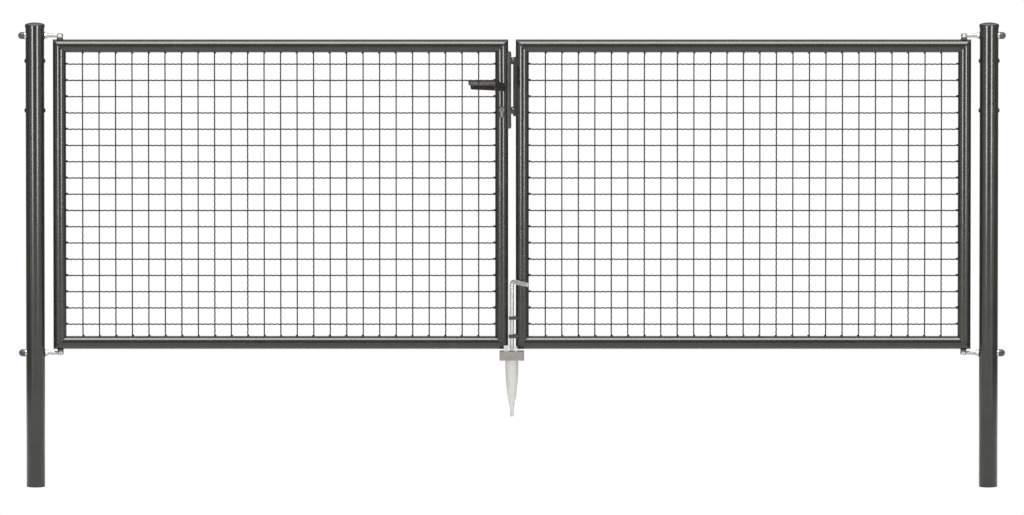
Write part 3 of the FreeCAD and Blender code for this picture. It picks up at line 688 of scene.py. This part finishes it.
spindle_low, spindle_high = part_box("lever_spindle")
axis = (spindle_low + spindle_high) / 2
for name, facing in (("front_lever", -1), ("rear_lever", 1)):
    low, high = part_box(name)
    outer = low.y if facing < 0 else high.y
    inner = outer - facing * bar_thickness
    tip_low = high.z - tip_height
    hub_start = axis.x - hub_reach

    bar = (arc(high.x - heel, high.z - heel, heel, 0, 90, 6)
           + arc(low.x + tip_over, high.z - tip_over, tip_over, 90, 180, 4)
           + arc(low.x + tip_under, tip_low + tip_under, tip_under, 180, 262, 6)
           + arc(high.x - heel, low.z + heel, heel, 270, 360, 6))
    hub = (arc(high.x - heel, high.z - heel, heel + hub_over, 0, 90, 6)
           + [(hub_start, high.z + hub_over), (hub_start, low.z + 0.0012)]
           + arc(high.x - heel, low.z + heel, heel + hub_over, 270, 360, 6))
    wedge = [(x, y, z) for x, rise in ((hub_start, hub_proud), (hub_start - ramp, -ramp_sunk))
             for y in (outer - facing * ramp_root, outer + facing * rise)
             for z in (low.z + ramp_under, high.z - ramp_over)]
    reach = abs(inner) + neck_sunk - neck_foot
    neck = [(0.0, 0.0), (neck_radius, 0.0), (neck_radius, reach - 0.005),
            (neck_flange, reach - 0.0035), (neck_flange, reach), (0.0, reach)]
    forms = [slab(bar, inner, outer, bar_edge),
             slab(hub, inner - facing * 0.0006, outer + facing * hub_proud, hub_edge), hull(wedge),
             turned(neck, Vector((axis.x, facing * neck_foot, axis.z)), (0, facing, 0))]
    casting = joined(f"{name}_casting", forms, lever_lacquer, "lever")
    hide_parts(name)

    face = [(low.x + face_end, high.z - face_rim), (low.x + face_end, tip_low + face_rim),
            (hub_start, low.z + 0.003), (hub_start, high.z - face_rim)]
    joined(f"{name}_inner_face", [slab(face, inner - facing * 0.0002, inner + facing * 0.001)],
           cast_grey, "lever")

collar = [(collar_bore, 0.0), (collar_radius, 0.0), (collar_radius, collar_height - 0.0016),
          (collar_radius - 0.001, collar_height - 0.0004), (collar_bore, collar_height),
          (collar_bore, 0.0)]
collars = [turned(collar, Vector((axis.x, facing * collar_foot, axis.z)), (0, facing, 0))
           for facing in (-1, 1)]
joined("lever_collars", collars, black_polyamide_and_shade, "left_leaf")


# Keeper
#
# A moulded dark green-grey block that saddles the stile, held by two bolts under black caps
# with a bright washer behind each. A black rubber buffer on each cap softens the closing. A
# dark strip on each cheek, reaching on to the stile, is painted shade: the keeper's shadow on
# the stile.

keeper_polyamide = surface(
    "green_grey_polyamide", {"IOR": 1.53, "Specular IOR Level": 0.35},
    "#1f2420", "#282e29", tone_mm=12.0, roughness=(0.34, 0.47), rough_mm=3.0,
    bump_mm=1.0, bump_depth_mm=0.04)
wear(keeper_polyamide, "keeper")
wear(black_polyamide_and_shade, "keeper_bolts")
wear(zinc, "keeper_washers")

# this rubber also paints shade: the dark strips beside the keeper stand for its shadow on the stile
black_rubber_and_shade = surface(
    "black_rubber_and_shade", {"IOR": 1.5, "Specular IOR Level": 0.2},
    "#161615", "#1f1f1e", tone_mm=6.0, roughness=(0.6, 0.75), rough_mm=2.0,
    bump_mm=1.2, bump_depth_mm=0.04)

buffer_thickness = 0.0049
buffer_seat = 0.0031          # how far the buffer reaches back over its cap
buffer_wall = 0.0006
buffer_chamfer = 0.0008
low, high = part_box("keeper_bolts")
cap_radius = (high.y - low.y) / 2
rim = cap_radius + buffer_wall
buffer = [(0.0, 0.0), (rim, 0.0), (rim, buffer_thickness - buffer_chamfer),
          (rim - buffer_chamfer, buffer_thickness), (0.0, buffer_thickness)]
buffers = [turned(buffer, Vector((low.x + buffer_seat, 0, z)), (-1, 0, 0))
           for z in (low.z + cap_radius, high.z - cap_radius)]
joined("rubber_buffers", buffers, black_rubber_and_shade, "right_leaf")

# painted shade: a dark strip on each cheek and on to the stile stands for the keeper's shadow there
shade_strip_root, shade_strip_reach = 0.001, 0.0055          # inside the keeper and on to the stile
shade_strip_top, shade_strip_foot = 0.027, 0.081             # below the keeper's top
shade_strip_inside, shade_strip_outside = 0.0135, 0.0192     # from the leaf's middle
low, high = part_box("keeper")
shade_strip = rectangle(high.x - shade_strip_root, high.x + shade_strip_reach, high.z - shade_strip_foot, high.z - shade_strip_top)
shade_strips = [slab(shade_strip, facing * shade_strip_inside, facing * shade_strip_outside, small_edge)
         for facing in (-1, 1)]
joined("keeper_shade_strips", shade_strips, black_rubber_and_shade, "right_leaf")


# Drop bolt and its guides
#
# Round bar, bent over and hot-dip galvanised: pale metal with soft drips and a grainy skin on
# the handle. The two guide rings are welded to the stile and coated near black.

dipped_bar = surface(
    "galvanised_bar", {"Metallic": 0.7},
    "#bcbbb7", "#e6e5e1", tone_mm=2.6, roughness=(0.3, 0.46), rough_mm=3.0,
    bump_mm=2.2, bump_depth_mm=0.06, bump=0.5)
wear(dipped_bar, "drop_bolt")

guide_coat = surface(
    "guide_powder_coat", {"IOR": 1.5, "Coat Weight": 0.6, "Coat Roughness": 0.15},
    "#1f201f", "#2a2b28", tone_mm=12.0, roughness=(0.3, 0.4), rough_mm=5.0,
    bump_mm=2.4, bump_depth_mm=0.05)
wear(guide_coat, "bolt_guides")


# Ground socket
#
# Collar, spike and stops welded together and dipped in molten zinc: pale warm grey, matt, with
# a grainy crust, its colour darker on the collar. The weld still shows under the zinc.

galvanised = surface(
    "hot_dip_zinc", {"Metallic": 0.75},
    "#c6c4c0", "#f1efeb", tone_mm=2.4, roughness=(0.42, 0.62), rough_mm=3.0,
    bump_mm=1.8, bump_depth_mm=0.35, bump=0.7)

rail_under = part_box("right_bottom_rail")[0].z
collar_under = rail_under - 0.034
collar_top = rail_under - 0.0047
tree = galvanised.node_tree
shader = tree.nodes["Principled BSDF"]
spot = add(tree, "ShaderNodeTexCoord").outputs["Object"]
spot_z = add(tree, "ShaderNodeSeparateXYZ", {"Vector": spot}).outputs["Z"]
above = add(tree, "ShaderNodeMath", {0: spot_z, 1: collar_under - 0.0005}, operation="GREATER_THAN")
below = add(tree, "ShaderNodeMath", {0: spot_z, 1: collar_top}, operation="LESS_THAN")
on_collar = add(tree, "ShaderNodeMath", {0: above, 1: below}, operation="MULTIPLY")
# the zinc's colour is multiplied darker between the collar's foot and its top
collar_darker = add(tree, "ShaderNodeMix", {
    "Factor": on_collar, "A": shader.inputs["Base Color"].links[0].from_socket,
    "B": linear("#c0bebb")}, data_type="RGBA", blend_type="MULTIPLY")
tree.links.new(collar_darker.outputs["Result"], shader.inputs["Base Color"])
wear(galvanised, "ground_socket")

spike_bead = 0.0022
spike_ripples = 40
low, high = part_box("ground_socket")
centre = (low + high) / 2
spike_radius = (high.y - low.y) / 2
count = spike_ripples * points_per_ripple
turns = [2 * math.pi * number / count for number in range(count)]
ring = [(centre.x + spike_radius * math.cos(turn), centre.y + spike_radius * math.sin(turn),
         collar_under) for turn in turns]
joined("spike_weld", [bead(ring, spike_bead)], galvanised, "posts", crease=180)


# Studio
#
# A white floor and an even white background. Two lamps stand low to the left and right of the
# camera, one hangs over the front of the gate and a pale screen stands high behind it, in a
# dim room.

view_height = 6.8             # degrees above the horizon
camera_far = 75.0             # so far that uprights stay parallel
aim = Vector((1.53, 0.0, 0.7408))
frame_width = 3.287           # metres of gate across the picture

# The floor is wide in front of the gate and narrow beside it, where it would show in the
# posts' flanks. It fades out at its edges, and the camera sees it pure white.
floor_front, floor_front_full = -8.4, -5.7
floor_back, floor_back_full = 2.6, 0.9
floor_half = 14.0
floor_beside, floor_beside_full = 4.4, 3.0     # half widths where it is narrow
apron_back, apron_full = -1.8, -3.0            # in front of here it is wide

floor_mesh = bpy.data.meshes.new("floor")
floor_mesh.from_pydata(
    [(aim.x - floor_half, floor_front, 0), (aim.x + floor_half, floor_front, 0),
     (aim.x + floor_half, floor_back, 0), (aim.x - floor_half, floor_back, 0)], [], [(0, 1, 2, 3)])
floor = bpy.data.objects.new("floor", floor_mesh)
bpy.context.scene.collection.objects.link(floor)
paper, tree, shader = plain_material("white_floor", {
    "Base Color": linear("#f6f6f5"), "Roughness": 0.9, "Specular IOR Level": 0.1})
seen = add(tree, "ShaderNodeLightPath").outputs["Is Camera Ray"]
plain = add(tree, "ShaderNodeEmission", {"Color": (1, 1, 1, 1), "Strength": 1.0})
both = add(tree, "ShaderNodeMixShader", {
    0: seen, 1: shader.outputs["BSDF"], 2: plain.outputs["Emission"]})
tree.links.new(both.outputs["Shader"], tree.nodes["Material Output"].inputs["Surface"])
spot = add(tree, "ShaderNodeTexCoord").outputs["Object"]
place = add(tree, "ShaderNodeSeparateXYZ", {"Vector": spot}).outputs
sideways = add(tree, "ShaderNodeMath", {0: place["X"], 1: aim.x}, operation="SUBTRACT")
sideways = add(tree, "ShaderNodeMath", {0: sideways}, operation="ABSOLUTE")
front_end, back_end, apron, beside = [
    add(tree, "ShaderNodeMapRange", {"Value": where, "From Min": edge, "From Max": full},
        interpolation_type="SMOOTHSTEP")
    for where, edge, full in (
        (place["Y"], floor_front, floor_front_full), (place["Y"], floor_back, floor_back_full),
        (place["Y"], apron_back, apron_full), (sideways, floor_beside, floor_beside_full))]
along = add(tree, "ShaderNodeMath", {0: front_end, 1: back_end}, operation="MULTIPLY")
across = add(tree, "ShaderNodeMath", {0: apron, 1: beside}, operation="MAXIMUM")
shape = add(tree, "ShaderNodeMath", {0: along, 1: across}, operation="MULTIPLY")
tree.links.new(shape.outputs[0], shader.inputs["Alpha"])
floor_mesh.materials.append(paper)
floor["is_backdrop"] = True

world = bpy.data.worlds.new("studio")
bpy.context.scene.world = world
world.use_nodes = True
tree = world.node_tree
tree.nodes.clear()


def window(value, centre, half, soft):
    """1 within half of centre, falling to 0 over soft."""
    away = add(tree, "ShaderNodeMath", {0: value, 1: centre}, operation="SUBTRACT")
    away = add(tree, "ShaderNodeMath", {0: away}, operation="ABSOLUTE")
    return add(tree, "ShaderNodeMapRange", {
        "Value": away, "From Min": half, "From Max": half + soft, "To Min": 1.0, "To Max": 0.0},
        interpolation_type="SMOOTHSTEP")


# lamps in degrees as the gate sees them: middle, half size and soft rim
strip_azimuth, strip_half, strip_soft = 31.0, 7.0, 2.6
strip_elevation, strip_rise, strip_rise_soft = -7.0, 4.0, 3.0
strip_light = 14.5
overhead_pitch, overhead_half, overhead_soft = 70.0, 16.0, 8.0
overhead_reach, overhead_end = 0.2, 0.14       # sideways, on a unit sphere
overhead_light = 9.6
screen_elevation, screen_half, screen_soft = 46.0, 12.0, 8.0
screen_edge, screen_full = 0.5, 0.65           # backwards, on a unit sphere
room_light = 0.2

heading = add(tree, "ShaderNodeTexCoord").outputs["Generated"]
side_x, away_y, up_z = add(tree, "ShaderNodeSeparateXYZ", {"Vector": heading}).outputs
towards = add(tree, "ShaderNodeMath", {0: away_y, 1: -1.0}, operation="MULTIPLY")
azimuth = add(tree, "ShaderNodeMath", {0: side_x, 1: towards}, operation="ARCTAN2")
elevation = add(tree, "ShaderNodeMath", {0: up_z}, operation="ARCSINE")
pitch = add(tree, "ShaderNodeMath", {0: up_z, 1: towards}, operation="ARCTAN2")
azimuth, elevation, pitch = [add(tree, "ShaderNodeMath", {0: turn}, operation="DEGREES")
                             for turn in (azimuth, elevation, pitch)]

left_strip = window(azimuth, -strip_azimuth, strip_half, strip_soft)
right_strip = window(azimuth, strip_azimuth, strip_half, strip_soft)
strips = add(tree, "ShaderNodeMath", {0: left_strip, 1: right_strip}, operation="ADD")
strip_height = window(elevation, strip_elevation, strip_rise, strip_rise_soft)
strips = add(tree, "ShaderNodeMath", {0: strips, 1: strip_height}, operation="MULTIPLY")
overhead = add(tree, "ShaderNodeMath", {
    0: window(pitch, overhead_pitch, overhead_half, overhead_soft),
    1: window(side_x, 0.0, overhead_reach, overhead_end)}, operation="MULTIPLY")
backwards = add(tree, "ShaderNodeMapRange", {
    "Value": away_y, "From Min": screen_edge, "From Max": screen_full},
    interpolation_type="SMOOTHSTEP")
screen = add(tree, "ShaderNodeMath", {
    0: backwards, 1: window(elevation, screen_elevation, screen_half, screen_soft)},
    operation="MULTIPLY")
light = add(tree, "ShaderNodeMath", {0: room_light, 1: screen}, operation="ADD")
light = add(tree, "ShaderNodeMath", {0: strips, 1: strip_light, 2: light},
            operation="MULTIPLY_ADD")
light = add(tree, "ShaderNodeMath", {0: overhead, 1: overhead_light, 2: light},
            operation="MULTIPLY_ADD")

# the camera sees white everywhere, and so do mirroring surfaces where the screen is
rays = add(tree, "ShaderNodeLightPath").outputs
mirrored = add(tree, "ShaderNodeMath", {0: rays["Is Glossy Ray"], 1: rays["Is Transmission Ray"]},
               operation="MAXIMUM")
mirrored = add(tree, "ShaderNodeMath", {0: mirrored, 1: screen}, operation="MULTIPLY")
white = add(tree, "ShaderNodeMath", {0: rays["Is Camera Ray"], 1: mirrored}, operation="MAXIMUM")
shown = add(tree, "ShaderNodeMix", {"Factor": white, "A": light, "B": 1.0}, data_type="FLOAT")
glow = add(tree, "ShaderNodeBackground", {
    "Color": (1, 1, 1, 1), "Strength": shown.outputs["Result"]})
add(tree, "ShaderNodeOutputWorld", {"Surface": glow})

camera_data = bpy.data.cameras.new("camera")
camera = bpy.data.objects.new("camera", camera_data)
bpy.context.scene.collection.objects.link(camera)
tilt = math.radians(view_height)
camera.location = aim + Vector((0, -math.cos(tilt), math.sin(tilt))) * camera_far
camera.rotation_euler = (math.pi / 2 - tilt, 0, 0)
camera_data.lens = camera_data.sensor_width * camera_far / frame_width
camera_data.clip_start = 1.0
camera_data.clip_end = 300.0
bpy.context.scene.camera = camera
bpy.context.scene.view_settings.view_transform = "Standard"

low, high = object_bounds()
